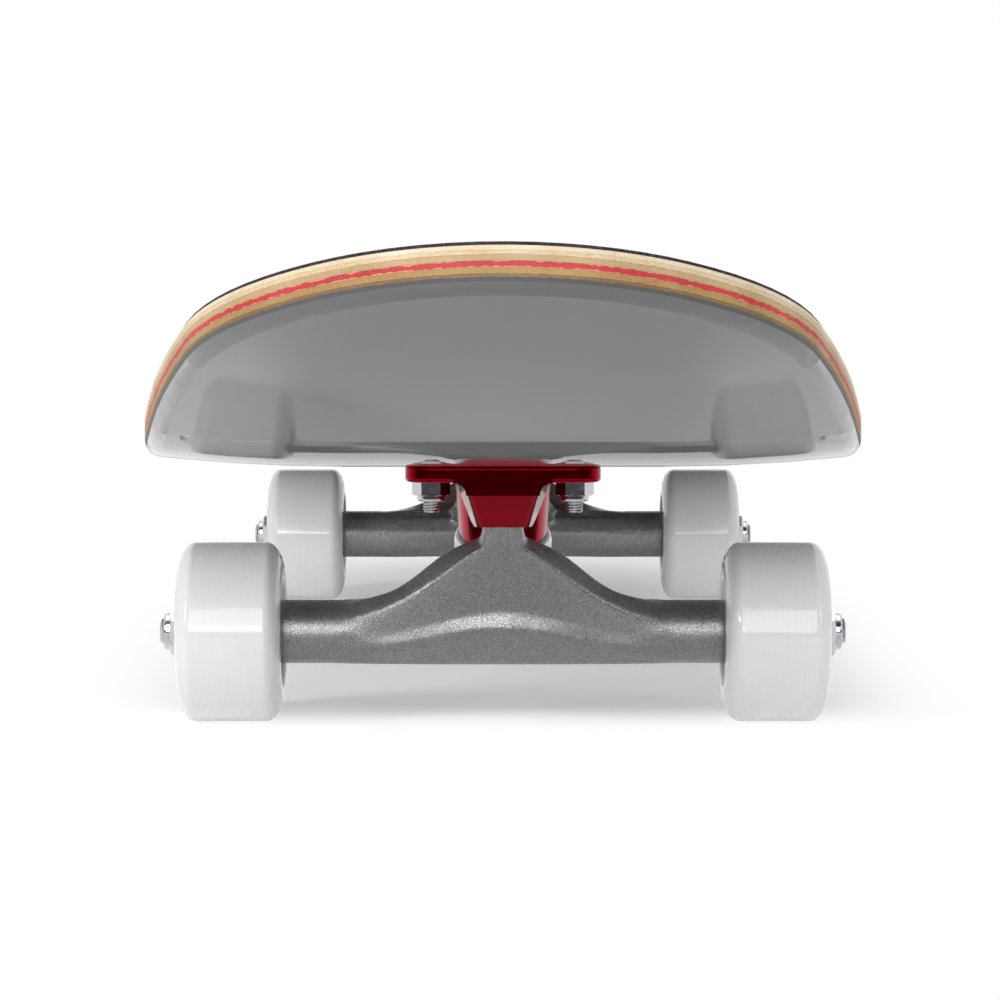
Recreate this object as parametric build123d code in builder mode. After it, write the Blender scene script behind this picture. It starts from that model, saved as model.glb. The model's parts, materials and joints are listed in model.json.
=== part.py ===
from build123d import *
import os
from math import asin, atan2, cos, pi, radians, sin, sqrt, tan

os.makedirs("parts", exist_ok=True)

# Street skateboard, millimetres. The board runs along Y with its nose towards -Y, X is across it
# and +Z is up. The origin lies on the ground, under the middle of the board.

# ---------------------------------------------------------------- driving sizes: deck
deck_width = 204.0
wheelbase = 362.0            # between the inner rows of bolt holes
bolt_row_gap = 54.0          # between the two rows of one truck
bolt_row_width = 41.3        # between the two bolts of one row
nose_reach = 179.0           # from the outer bolt row to the tip of the nose
tail_reach = 165.0           # from the outer bolt row to the end of the tail
kick_start = 15.0            # from the outer bolt row to the start of a kick
kick_radius = 150.0          # bend of a kick, on the painted face
nose_angle = 20.0
tail_angle = 20.0
concave_flat = 90.0          # width of the flat between the two rising rails
concave_radius = 480.0       # curve of a rail, on the painted face
nose_tip_radius = 85.0
nose_flank_radius = 420.0
tail_tip_radius = 88.0
tail_flank_radius = 340.0
plies = {                    # thickness of each veneer, from the top down
    "ply_1_top": 1.2,
    "ply_2_cross": 1.1,
    "ply_3": 1.4,
    "ply_4_red": 1.45,
    "ply_5": 1.45,
    "ply_6_cross": 1.7,
    "ply_7_bottom": 2.2,
}
grip_thickness = 0.8
glue_thickness = 0.04        # under the grip tape
grip_edge_inset = 0.8        # the grip tape is filed back from the rim
top_edge_round = 0.6
bottom_edge_round = 4.8

# ---------------------------------------------------------------- driving sizes: mounting hardware
bolt_radius = 2.4
bolt_length = 25.4
bolt_head_radius = 4.7
bolt_head_angle = 82.0
bolt_slot_width = 1.1
bolt_nut_hex = 9.5
bolt_nut_height = 6.0
bolt_hole_clearance = 0.25
seat_clearance = 0.05        # between a fastener and what it screws into or sits in
nut_collar_share = 0.3       # part of a lock nut's height that is its round collar
nut_insert_wall = 1.1
thread_end = 1.5             # what a pin shows beyond its nut
thread_chamfer = 0.6

# ---------------------------------------------------------------- driving sizes: baseplate
riding_height = 51.5         # from the axle to the underside of the deck
axle_setback = 3.0           # from the middle of the bolt pattern to the axle, towards mid board
plate_length = 80.0
plate_width = 56.0
plate_thickness = 5.0
plate_corner_radius = 7.0
plate_edge_round = 1.2
boss_radius = 13.2
boss_draft = 3.0
housing_drop = 18.5          # from the deck's underside to the lowest edge of the pivot housing
housing_front_step = 2.0     # upright part of the housing's front, below the plate
housing_foot_front = 30.0
housing_foot_back = 14.0
housing_foot_width = 14.4
housing_foot_back_width = 22.0
housing_head_width = 21.0
housing_head_back_width = 30.0
housing_corner_round = 2.2
housing_flare = 3.6          # hollow rounding between the housing's flanks and the plate
pivot_out = 24.0             # outwards from the axle to the middle of the pivot's ball
pivot_drop = 9.5             # from the deck's underside to the middle of the pivot's ball
pivot_ball_radius = 5.0
pivot_clearance = 0.1
pivot_cup_wall = 1.5
pivot_cup_mouth = 4.5        # from the middle of the ball to the cup's mouth
pivot_cup_depth = 5.6        # from the middle of the ball to the back of the cup

# ---------------------------------------------------------------- driving sizes: kingpin, bushings
kingpin_radius = 4.75
kingpin_tilt = 26.0          # from upright; the nut end points down and towards mid board
kingpin_top_out = 2.5        # outwards from the axle to the kingpin's line, at the deck's underside
kingpin_hex = 14.3           # across the flats of its head and of its nut
kingpin_head_height = 6.0
kingpin_head_drop = 4.5      # along the kingpin, from the deck's underside to the top of its head
kingpin_nut_height = 6.5
bushing_radius = 12.0
board_bushing_height = 14.0
road_bushing_height = 12.0
road_bushing_foot_radius = 10.0
bushing_edge_round = 1.2
cup_washer_thickness = 1.6
board_washer_radius = 14.6
board_washer_rim = 4.2
road_washer_radius = 12.4
road_washer_rim = 2.6
washer_clearance = 0.25

# ---------------------------------------------------------------- driving sizes: hanger and axle
hanger_width = 135.0
tube_radius = 9.5
tube_start = 50.0            # where the casting has become a round tube
tube_roundness = 0.95
tube_shoulder = 2.0
ring_drop = 42.3             # along the kingpin, from the deck's underside to the ring's middle
ring_thickness = 8.0
ring_radius = 16.0
ring_bore = 6.0
ring_pocket_depth = 1.0
bushing_seat_clearance = 0.3
bushing_room = 1.0           # round a bushing, in the casting
yoke_width = 46.0
yoke_reach = 17.0
arm_round = 3.0
arm_gap = 1.8                # between the arm's head and the pivot cup's mouth
arm_head_width = 11.2
arm_head_depth = 11.0
axle_length = 203.0
axle_radius = 3.97
axle_nut_hex = 12.7
axle_nut_height = 7.0
speed_washer_thickness = 1.0
speed_washer_radius = 6.0

# ---------------------------------------------------------------- driving sizes: wheels and bearings
wheel_diameter = 53.0
wheel_width = 31.0
contact_width = 21.0
wheel_lip_radius = 17.5
wheel_hub_radius = 13.0      # flat ring round the bearing seat
wheel_side_dish = 1.2        # how far the side is drawn in between the lip and the hub
bearing_recess = 0.6         # from the hub's flat ring to the bearing's face
bearing_outer_radius = 11.0
bearing_bore = 4.0
bearing_width = 7.0
bearing_spacer_length = 10.0
spacer_radius = 5.6
inner_ring_radius = 6.1
outer_ring_inner_radius = 9.3
ball_count = 7
ball_radius = 1.98
ball_pitch_radius = 7.6
groove_radius = 2.05
shield_thickness = 0.35
shield_recess = 0.25
shield_gap = 0.3
cage_wall = 0.75
cage_width = 3.6
cage_recess = 0.5
cage_clearance = 0.1

# ---------------------------------------------------------------- derived places
axle_height = wheel_diameter / 2
deck_bottom = axle_height + riding_height
deck_thickness = sum(plies.values())
deck_top = deck_bottom + deck_thickness
board_length = nose_reach + wheelbase + 2 * bolt_row_gap + tail_reach
nose_tip_y = -board_length / 2
tail_end_y = board_length / 2
nose_outer_row_y = nose_tip_y + nose_reach
tail_outer_row_y = tail_end_y - tail_reach
nose_break_y = nose_outer_row_y - kick_start
tail_break_y = tail_outer_row_y + kick_start
front_pattern_y = nose_outer_row_y + bolt_row_gap / 2
rear_pattern_y = tail_outer_row_y - bolt_row_gap / 2
front_axle_y = front_pattern_y + axle_setback
rear_axle_y = rear_pattern_y - axle_setback
grip_top = deck_top + grip_thickness
bolt_places = [
    (x, pattern_y + y)
    for pattern_y in (front_pattern_y, rear_pattern_y)
    for y in (-bolt_row_gap / 2, bolt_row_gap / 2)
    for x in (-bolt_row_width / 2, bolt_row_width / 2)
]


def save(part, name):
    part.label = name
    export_step(part, f"parts/{name}.step")


# ---------------------------------------------------------------- deck
def pressed_strip(low, high):
    """A strip of the pressed board between two heights above the painted face."""
    flat = concave_flat / 2
    reach = deck_width / 2 + high
    turn = asin((reach - flat) / concave_radius)

    def rail(height, side):
        # end of a rail's arc, which keeps the painted face's centre of curvature
        radius = concave_radius - height
        return side * (flat + radius * sin(turn)), concave_radius - radius * cos(turn)

    section_plane = Plane(origin=(0, nose_break_y, deck_bottom), x_dir=(1, 0, 0), z_dir=(0, -1, 0))
    with BuildPart() as strip:
        with BuildSketch(section_plane) as section:
            with BuildLine():
                Line((-flat, low), (flat, low))
                RadiusArc((flat, low), rail(low, 1), -(concave_radius - low))
                Line(rail(low, 1), rail(high, 1))
                RadiusArc(rail(high, 1), (flat, high), concave_radius - high)
                Line((flat, high), (-flat, high))
                RadiusArc((-flat, high), rail(high, -1), concave_radius - high)
                Line(rail(high, -1), rail(low, -1))
                RadiusArc(rail(low, -1), (-flat, low), -(concave_radius - low))
            make_face()
        extrude(amount=-(tail_break_y - nose_break_y))
        for break_y, side, angle in ((nose_break_y, -1, nose_angle), (tail_break_y, 1, tail_angle)):
            end_face = strip.faces().sort_by(Axis.Y)[0 if side < 0 else -1]
            bend_axis = Axis((0, break_y, deck_bottom + kick_radius), (side, 0, 0))
            revolve(end_face, axis=bend_axis, revolution_arc=angle)
            kick_face = strip.faces().sort_by(Axis.Y)[0 if side < 0 else -1]
            extrude(kick_face, amount=board_length / 4)
    return strip.part


def outline_end(end_y, inward, tip_radius, flank_radius, edge):
    """Where one end's tip arc meets its flank arc, and where the flank meets the straight side."""
    tip = tip_radius - edge
    flank_x = deck_width / 2 - flank_radius
    tip_center_y = end_y + inward * tip_radius
    rise = sqrt((flank_radius - tip_radius) ** 2 - flank_x ** 2)
    meet_x = -tip * flank_x / (flank_radius - tip_radius)
    meet_y = tip_center_y - inward * tip * rise / (flank_radius - tip_radius)
    return meet_x, meet_y, tip_center_y + inward * rise, tip_center_y - inward * tip


def deck_outline(edge=0.0):
    """The board's outline as a face, moved inwards by edge: arcs at both ends, straight sides."""
    half = deck_width / 2 - edge
    ends = (
        (nose_tip_y, 1, nose_tip_radius, nose_flank_radius),
        (tail_end_y, -1, tail_tip_radius, tail_flank_radius),
    )
    with BuildSketch() as outline:
        with BuildLine():
            sides = []
            for end_y, inward, tip_radius, flank_radius in ends:
                meet_x, meet_y, side_y, tip_y = outline_end(
                    end_y, inward, tip_radius, flank_radius, edge
                )
                ThreePointArc((-meet_x, meet_y), (0, tip_y), (meet_x, meet_y))
                for side in (-1, 1):
                    bulge = -side * inward * (flank_radius - edge)
                    RadiusArc((side * meet_x, meet_y), (side * half, side_y), bulge)
                sides.append(side_y)
            for side in (-1, 1):
                Line((side * half, sides[0]), (side * half, sides[1]))
        make_face()
    return outline.sketch


def rim_edges(part, upper):
    """The edges where the board's upright rim meets its upper or its lower side."""
    def upright(face):
        return abs(face.normal_at(face.center()).Z) < 0.05

    def on_side(face):
        rise = face.normal_at(face.center()).Z
        return rise > 0.5 if upper else rise < -0.5

    walls = part.faces().filter_by(upright)
    skins = part.faces().filter_by(on_side)
    skin_edges = skins.edges()
    return ShapeList(edge for edge in walls.edges() if any(edge.is_same(other) for other in skin_edges))


def drill_bolt_holes():
    """Countersunk holes for all the mounting bolts, in the part being built."""
    with Locations(*[(x, y, grip_top) for x, y in bolt_places]):
        CounterSinkHole(
            radius=bolt_radius + bolt_hole_clearance,
            counter_sink_radius=bolt_head_radius + seat_clearance,
            counter_sink_angle=bolt_head_angle,
        )


with BuildPart() as pressed_blank:
    add(pressed_strip(0, deck_thickness))
    with BuildSketch():
        add(deck_outline())
    extrude(amount=2 * deck_bottom + board_length / 4, mode=Mode.INTERSECT)
    fillet(rim_edges(pressed_blank.part, upper=False), radius=bottom_edge_round)
    fillet(rim_edges(pressed_blank.part, upper=True), radius=top_edge_round)
    drill_bolt_holes()

high = deck_thickness
for name, thickness in plies.items():
    low = high - thickness
    with BuildPart() as ply:
        add(pressed_strip(low, high))
        add(pressed_blank.part, mode=Mode.INTERSECT)
    save(ply.part, name)
    high = low

with BuildPart() as grip_tape:
    add(pressed_strip(deck_thickness + glue_thickness, deck_thickness + grip_thickness))
    with BuildSketch():
        add(deck_outline(grip_edge_inset))
    extrude(amount=2 * deck_bottom + board_length / 4, mode=Mode.INTERSECT)
    drill_bolt_holes()
save(grip_tape.part, "grip_tape")


# ---------------------------------------------------------------- truck frame
# A truck is built round its own axle: X along the axle, -Y outwards to the nearer end of the
# board, +Z up. Distances outwards from the axle are called out, heights above it up.
plate_underside = riding_height - plate_thickness
plate_front_out = axle_setback + plate_length / 2
tilt = radians(kingpin_tilt)
ring_out = kingpin_top_out - ring_drop * sin(tilt)
ring_up = riding_height - ring_drop * cos(tilt)
pivot_up = riding_height - pivot_drop
steer_rise = atan2(pivot_up - ring_up, pivot_out - ring_out)
ring_center = Vector(0, -ring_out, ring_up)
kingpin_direction = Vector(0, -sin(tilt), cos(tilt))
pivot_center = Vector(0, -pivot_out, pivot_up)
steer_direction = Vector(0, -cos(steer_rise), sin(steer_rise))

# distances along the kingpin, up from the middle of the ring
board_seat = ring_thickness / 2 - ring_pocket_depth
boss_foot = board_seat + board_bushing_height + cup_washer_thickness
road_seat = -board_seat
road_washer_face = road_seat - road_bushing_height
kingpin_nut_face = road_washer_face - cup_washer_thickness
kingpin_foot = kingpin_nut_face - kingpin_nut_height - thread_end
head_top = ring_drop - kingpin_head_drop
head_foot = head_top - kingpin_head_height
cup_bore = pivot_ball_radius + pivot_clearance
cup_radius = cup_bore + pivot_cup_wall


def along_kingpin(distance):
    """Plane across the kingpin, at a distance up from the middle of the ring."""
    center = ring_center + kingpin_direction * distance
    return Plane(origin=center, x_dir=(1, 0, 0), z_dir=kingpin_direction)


def below_kingpin(distance):
    """The same plane turned over, for what hangs down from it."""
    center = ring_center + kingpin_direction * distance
    return Plane(origin=center, x_dir=(1, 0, 0), z_dir=-kingpin_direction)


def along_pivot(distance):
    """Plane across the steering axis, at a distance outwards from the pivot's ball."""
    center = pivot_center + steer_direction * distance
    return Plane(origin=center, x_dir=(1, 0, 0), z_dir=steer_direction)


# ---------------------------------------------------------------- hardware at the origin
# Each of these stands on the XY plane with its axis along +Z, and is placed afterwards.
def lock_nut(hexagon, bore, height):
    """Hexagon with bevelled corners, and the round collar that holds the nylon insert."""
    corner = hexagon / sqrt(3)
    bevel = (corner - hexagon / 2) / 2
    hexagon_top = height * (1 - nut_collar_share)
    with BuildPart() as nut:
        with BuildSketch():
            RegularPolygon(hexagon / 2, 6, major_radius=False)
        extrude(amount=hexagon_top)
        with BuildSketch(Plane.XZ):
            with BuildLine():
                Polyline(
                    (0, 0),
                    (corner - bevel, 0),
                    (corner, bevel),
                    (corner, hexagon_top - bevel),
                    (corner - 2 * bevel, hexagon_top),
                    (0, hexagon_top),
                    close=True,
                )
            make_face()
        revolve(axis=Axis.Z, mode=Mode.INTERSECT)
        with BuildSketch(Plane.XY.offset(hexagon_top)):
            Circle(hexagon / 2 * 0.86)
        extrude(amount=height - hexagon_top)
        fillet(nut.edges().group_by(Axis.Z)[-1], radius=(height - hexagon_top) * 0.45)
        with Locations((0, 0, height)):
            CounterBoreHole(
                radius=bore + seat_clearance,
                counter_bore_radius=bore + nut_insert_wall,
                counter_bore_depth=height - hexagon_top,
            )
    return nut.part


def nut_insert(bore, height):
    """Nylon ring in a lock nut's collar, a little below the collar's lip."""
    hexagon_top = height * (1 - nut_collar_share)
    with BuildPart() as insert:
        with BuildSketch(Plane.XY.offset(hexagon_top)):
            Circle(bore + nut_insert_wall)
            Circle(bore + seat_clearance, mode=Mode.SUBTRACT)
        extrude(amount=(height - hexagon_top) * 0.7)
    return insert.part


def cup_washer(radius, bore, rim, thickness):
    """Dished washer: a flat seat whose rounded rim turns up round a bushing."""
    with BuildPart() as washer:
        with BuildSketch():
            Circle(radius)
        extrude(amount=rim + thickness)
        fillet(washer.edges().group_by(Axis.Z)[0], radius=rim)
        inner = radius - thickness
        with BuildSketch(Plane.XY.offset(thickness)):
            Circle(inner)
        extrude(amount=rim, mode=Mode.SUBTRACT)
        Hole(radius=bore)
    return washer.part


def bushing(foot_radius, head_radius, bore, height, edge_round):
    """Urethane bushing standing on its foot, with rounded edges."""
    with BuildPart() as body:
        with BuildSketch(Plane.XZ):
            with BuildLine():
                Polyline((0, 0), (foot_radius, 0), (head_radius, height), (0, height), close=True)
            make_face()
        revolve(axis=Axis.Z)
        fillet(body.edges().filter_by(GeomType.CIRCLE), radius=edge_round)
        Hole(radius=bore)
    return body.part


# ---------------------------------------------------------------- baseplate
with BuildPart() as plate:
    with BuildSketch(Plane.XY.offset(plate_underside)):
        with Locations((0, -axle_setback)):
            RectangleRounded(plate_width, plate_length, plate_corner_radius)
    extrude(amount=plate_thickness)
    rim = plate.edges().group_by(Axis.Z)
    fillet(rim[0] + rim[-1], radius=plate_edge_round)

with BuildPart() as baseplate:
    # pivot housing: upright at the plate's front, then drawn in towards a narrow foot
    with BuildSketch(Plane.XY.offset(riding_height - housing_drop)) as housing_foot:
        Polygon(
            (-housing_foot_width / 2, -housing_foot_front),
            (housing_foot_width / 2, -housing_foot_front),
            (housing_foot_back_width / 2, -housing_foot_back),
            (-housing_foot_back_width / 2, -housing_foot_back),
            align=None,
        )
        fillet(housing_foot.vertices().group_by(Axis.Y)[0], radius=housing_corner_round)
    for height in (plate_underside - housing_front_step, plate_underside + plate_thickness / 2):
        with BuildSketch(Plane.XY.offset(height)) as housing_head:
            Polygon(
                (-housing_head_width / 2, -plate_front_out),
                (housing_head_width / 2, -plate_front_out),
                (housing_head_back_width / 2, 0),
                (-housing_head_back_width / 2, 0),
                align=None,
            )
            fillet(housing_head.vertices().group_by(Axis.Y)[0], radius=housing_corner_round)
    loft(ruled=True)
    split(bisect_by=along_pivot(-pivot_cup_mouth), keep=Keep.TOP)
    # hollow roundings that lead the plate's underside into the housing's flanks
    flare_plane = Plane(origin=(0, -plate_front_out, plate_underside), x_dir=(1, 0, 0), z_dir=(0, -1, 0))
    with BuildSketch(flare_plane):
        for side in (-1, 1):
            with BuildLine():
                flank = side * housing_head_width / 2
                flared = flank + side * housing_flare
                RadiusArc((flank, -housing_flare), (flared, 0), side * housing_flare)
                Polyline((flared, 0), (flared, plate_edge_round), (0, plate_edge_round),
                         (0, -housing_flare), (flank, -housing_flare))
            make_face()
    extrude(amount=-plate_front_out)
    add(plate.part)
    # kingpin boss, from its washer seat up into the plate
    with BuildSketch(along_kingpin(boss_foot)):
        Circle(boss_radius)
    extrude(amount=ring_drop - boss_foot, taper=-boss_draft)
    split(bisect_by=Plane.XY.offset(riding_height), keep=Keep.BOTTOM)
    # bores
    with BuildSketch(along_kingpin(0)):
        Circle(kingpin_radius + seat_clearance)
    extrude(amount=2 * ring_drop, mode=Mode.SUBTRACT)
    with BuildSketch(along_kingpin(head_foot)):
        RegularPolygon(kingpin_hex / 2 + seat_clearance, 6, major_radius=False)
    extrude(amount=ring_drop, mode=Mode.SUBTRACT)
    with BuildSketch(along_pivot(-2 * pivot_cup_mouth)):
        Circle(cup_radius)
    extrude(amount=2 * pivot_cup_mouth + pivot_cup_depth, mode=Mode.SUBTRACT)
    with Locations((0, -axle_setback, riding_height)):
        with GridLocations(bolt_row_width, bolt_row_gap, 2, 2):
            Hole(radius=bolt_radius + bolt_hole_clearance)

with BuildPart() as pivot_cup:
    with BuildSketch(along_pivot(-pivot_cup_mouth)):
        Circle(cup_radius)
    extrude(amount=pivot_cup_mouth + pivot_cup_depth)
    with BuildSketch(along_pivot(-pivot_cup_mouth)):
        Circle(cup_bore)
    extrude(amount=pivot_cup_mouth, mode=Mode.SUBTRACT)
    with Locations(pivot_center):
        Sphere(cup_bore, mode=Mode.SUBTRACT)

# ---------------------------------------------------------------- kingpin, bushings, washers
with BuildPart() as kingpin:
    with BuildSketch(along_kingpin(kingpin_foot)):
        Circle(kingpin_radius)
    extrude(amount=head_foot - kingpin_foot)
    chamfer(kingpin.edges().group_by(Axis.Z)[0], length=thread_chamfer)
    with BuildSketch(along_kingpin(head_foot)):
        RegularPolygon(kingpin_hex / 2, 6, major_radius=False)
    extrude(amount=kingpin_head_height)

with BuildPart() as kingpin_nut:
    with Locations(below_kingpin(kingpin_nut_face)):
        add(lock_nut(kingpin_hex, kingpin_radius, kingpin_nut_height))

with BuildPart() as kingpin_nut_insert:
    with Locations(below_kingpin(kingpin_nut_face)):
        add(nut_insert(kingpin_radius, kingpin_nut_height))

with BuildPart() as board_washer:
    with Locations(below_kingpin(boss_foot)):
        add(cup_washer(board_washer_radius, kingpin_radius + washer_clearance,
                       board_washer_rim, cup_washer_thickness))

with BuildPart() as road_washer:
    with Locations(along_kingpin(kingpin_nut_face)):
        add(cup_washer(road_washer_radius, kingpin_radius + washer_clearance,
                       road_washer_rim, cup_washer_thickness))

with BuildPart() as board_bushing:
    with Locations(along_kingpin(board_seat)):
        add(bushing(bushing_radius, bushing_radius, kingpin_radius + washer_clearance,
                    board_bushing_height, bushing_edge_round))

with BuildPart() as road_bushing:
    with Locations(below_kingpin(road_seat)):
        add(bushing(bushing_radius, road_bushing_foot_radius, kingpin_radius + washer_clearance,
                    road_bushing_height, bushing_edge_round))

# ---------------------------------------------------------------- hanger
# Cross-sections of the casting, as (out, up) corners from the axle: lower front, lower ridge,
# hollow of the front, upper ridge, crest, valley behind the crest, upper back, lower back,
# hollow of the underside, lip of that hollow.
hanger_sections = {
    0.0: [(5.4, -tube_radius), (14.0, 1.7), (13.0, 7.2), (20.9, 28.3), (13.2, 31.5),
          (4.0, 14.0), (-7.0, 9.0), (-10.0, 1.0), (-5.0, -4.0), (1.0, -tube_radius)],
    13.0: [(5.3, -tube_radius), (13.4, 0.6), (12.5, 5.4), (17.8, 21.8), (10.9, 27.4),
           (3.0, 13.0), (-7.5, 8.0), (-10.0, 0.8), (-5.0, -4.2), (0.9, -tube_radius)],
    20.0: [(5.1, -tube_radius), (12.7, -0.8), (11.9, 3.6), (14.9, 16.3), (9.0, 23.4),
           (2.2, 11.5), (-8.0, 7.5), (-10.0, 0.6), (-5.5, -4.8), (0.6, -tube_radius)],
    28.0: [(4.8, -tube_radius), (11.6, -2.6), (10.9, 1.2), (12.5, 11.0), (7.5, 16.6),
           (1.0, 10.3), (-7.8, 7.3), (-10.0, 0.8), (-6.5, -5.6), (0.0, -tube_radius)],
    37.0: [(4.3, -tube_radius), (10.4, -4.2), (10.1, -0.5), (10.7, 6.6), (6.3, 11.6),
           (-0.4, 10.0), (-7.4, 7.2), (-10.0, 0.9), (-7.5, -5.5), (-1.5, -tube_radius)],
    44.0: [(3.6, -tube_radius), (9.0, -5.2), (9.8, 0.3), (9.4, 4.9), (5.0, 9.2),
           (-1.8, 9.8), (-7.6, 6.9), (-10.0, 0.6), (-8.2, -5.5), (-2.8, -tube_radius)],
}
hanger_rounds = {0.0: 1.6, 13.0: 1.6, 20.0: 1.7, 28.0: 2.0, 37.0: 3.0, 44.0: 5.0}
hanger_corners = 10
# Cross-sections of the arm: middle (out, up), lean from level, width and depth.
arm_sections = [(9.4, 16.6, 62.0, 21.0, 10.0), (16.6, 29.5, 60.0, 12.6, 9.4)]

corner_turn = 2 * pi / hanger_corners
tube_first_corner = (corner_turn - pi) / 2
tube_corner_radius = tube_radius / cos(corner_turn / 2)
tube_corners = [
    (tube_corner_radius * cos(tube_first_corner + corner_turn * index),
     tube_corner_radius * sin(tube_first_corner + corner_turn * index))
    for index in range(hanger_corners)
]
half_stations = [(x, hanger_sections[x], hanger_rounds[x]) for x in hanger_sections]
half_stations.append((tube_start, tube_corners, tube_roundness * tube_radius))
other_half = [(-x, corners, edge_round) for x, corners, edge_round in reversed(half_stations[1:])]

with BuildPart() as arm:
    # from the body of the casting up to the arm's head
    for out, up, lean, width, depth in arm_sections:
        direction = (0, -cos(radians(lean)), sin(radians(lean)))
        with BuildSketch(Plane(origin=(0, -out, up), x_dir=(1, 0, 0), z_dir=direction)):
            RectangleRounded(width, depth, arm_round)
    arm_head = along_pivot(-pivot_cup_mouth - arm_gap)
    with BuildSketch(arm_head):
        RectangleRounded(arm_head_width, arm_head_depth, arm_head_depth * 0.45)
    loft()
    # ball-ended stub in the pivot cup
    with BuildSketch(arm_head.offset(-arm_round)):
        Circle(pivot_ball_radius)
    extrude(amount=pivot_cup_mouth + arm_gap + arm_round)
    with Locations(pivot_center):
        Sphere(pivot_ball_radius)

with BuildPart() as yoke:
    # flat ring round the kingpin, widening to where it joins the tube
    with BuildSketch(along_kingpin(-ring_thickness / 2)):
        Circle(ring_radius)
        with Locations((0, -yoke_reach)):
            Rectangle(yoke_width, 1)
        make_hull()
    extrude(amount=ring_thickness)

with BuildPart() as hanger:
    for x, corners, edge_round in other_half + half_stations:
        with BuildSketch(Plane(origin=(x, 0, 0), x_dir=(0, -1, 0), z_dir=(-1, 0, 0))):
            with BuildLine():
                FilletPolyline(*corners, radius=edge_round, close=True)
            make_face()
    loft()
    for end in (0, -1):
        extrude(hanger.faces().sort_by(Axis.X)[end], amount=hanger_width / 2 - tube_start)
    for end in (0, -1):
        fillet(hanger.faces().sort_by(Axis.X)[end].edges(), radius=tube_shoulder)
    add(arm.part)
    add(yoke.part)
    # seats of the two bushings, and the room round them
    for seat, toward in ((board_seat, 1), (road_seat, -1)):
        with BuildSketch(along_kingpin(seat)):
            Circle(bushing_radius + bushing_seat_clearance)
        extrude(amount=toward * ring_pocket_depth, mode=Mode.SUBTRACT)
        with BuildSketch(along_kingpin(seat + toward * ring_pocket_depth)):
            Circle(bushing_radius + bushing_room)
        extrude(amount=toward * road_bushing_height * 2, mode=Mode.SUBTRACT)
    with BuildSketch(along_kingpin(road_seat)):
        Circle(ring_bore)
    extrude(amount=ring_thickness, mode=Mode.SUBTRACT)
    with BuildSketch(Plane.YZ):
        Circle(axle_radius)
    extrude(amount=hanger_width / 2, both=True, mode=Mode.SUBTRACT)

# ---------------------------------------------------------------- wheel and bearings
# The wheel is built round the X axis with its middle plane at x = 0; the two bearings sit with
# their inner faces a spacer apart.
bearing_inner_face = bearing_spacer_length / 2
bearing_outer_face = bearing_inner_face + bearing_width
bearing_middle = bearing_inner_face + bearing_width / 2
both_sides = (-1, 1)

with BuildPart() as wheel:
    with BuildSketch(Plane.XY) as wheel_profile:
        with BuildLine():
            half = wheel_width / 2
            radius = wheel_diameter / 2
            seat = bearing_outer_radius
            Line((-contact_width / 2, radius), (contact_width / 2, radius))
            for side in both_sides:
                EllipticalCenterArc(
                    (side * contact_width / 2, wheel_lip_radius),
                    half - contact_width / 2,
                    radius - wheel_lip_radius,
                    start_angle=0 if side > 0 else 90,
                    arc_size=90,
                )
                Spline(
                    (side * half, wheel_lip_radius),
                    (side * (half - wheel_side_dish), (wheel_lip_radius + wheel_hub_radius) / 2),
                    (side * (bearing_outer_face + bearing_recess), wheel_hub_radius),
                    tangents=[(0, -1), (0, -1)],
                )
                Polyline(
                    (side * (bearing_outer_face + bearing_recess), wheel_hub_radius),
                    (side * (bearing_outer_face + bearing_recess), seat),
                    (side * bearing_inner_face, seat),
                    (side * bearing_inner_face, outer_ring_inner_radius),
                )
            Line((-bearing_inner_face, outer_ring_inner_radius), (bearing_inner_face, outer_ring_inner_radius))
        make_face()
    revolve(axis=Axis.X)

def bearing_ring(inner, outer, side):
    """One ring of a bearing, with the ball groove in the face that looks at the balls."""
    with BuildPart() as ring:
        with BuildSketch(Plane.YZ.offset(side * bearing_middle)):
            Circle(outer)
            Circle(inner, mode=Mode.SUBTRACT)
        extrude(amount=bearing_width / 2, both=True)
        with BuildSketch(Plane.XY):
            with Locations((side * bearing_middle, ball_pitch_radius)):
                Circle(groove_radius)
        revolve(axis=Axis.X, mode=Mode.SUBTRACT)
    return ring.part


with BuildPart() as outer_rings:
    for side in both_sides:
        add(bearing_ring(outer_ring_inner_radius, bearing_outer_radius, side))

with BuildPart() as inner_rings:
    for side in both_sides:
        add(bearing_ring(bearing_bore, inner_ring_radius, side))

with BuildPart() as shields:
    for side in both_sides:
        with BuildSketch(Plane.YZ.offset(side * (bearing_outer_face - shield_recess))):
            Circle(outer_ring_inner_radius)
            Circle(inner_ring_radius + shield_gap, mode=Mode.SUBTRACT)
        extrude(amount=-side * shield_thickness)

with BuildPart() as balls:
    for side in both_sides:
        with Locations(Plane.YZ.offset(side * bearing_middle)):
            with PolarLocations(ball_pitch_radius, ball_count):
                Sphere(ball_radius)

with BuildPart() as cages:
    for side in both_sides:
        with BuildSketch(Plane.YZ.offset(side * (bearing_inner_face + cage_recess))):
            Circle(ball_pitch_radius + cage_wall)
            Circle(ball_pitch_radius - cage_wall, mode=Mode.SUBTRACT)
        extrude(amount=side * cage_width)
        with Locations(Plane.YZ.offset(side * bearing_middle)):
            with PolarLocations(ball_pitch_radius, ball_count):
                Sphere(ball_radius + cage_clearance, mode=Mode.SUBTRACT)

# ---------------------------------------------------------------- axle and its hardware
wheel_center = hanger_width / 2 + speed_washer_thickness + bearing_outer_face
axle_nut_seat = wheel_center + bearing_outer_face + speed_washer_thickness
nut_planes = [Plane(origin=(side * axle_nut_seat, 0, 0), z_dir=(side, 0, 0)) for side in both_sides]
wheel_spots = [Location((side * wheel_center, 0, 0)) for side in both_sides]

with BuildPart() as axle:
    with BuildSketch(Plane.YZ):
        Circle(axle_radius)
    extrude(amount=axle_length / 2, both=True)
    chamfer(axle.edges().filter_by(GeomType.CIRCLE), length=thread_chamfer)

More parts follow.
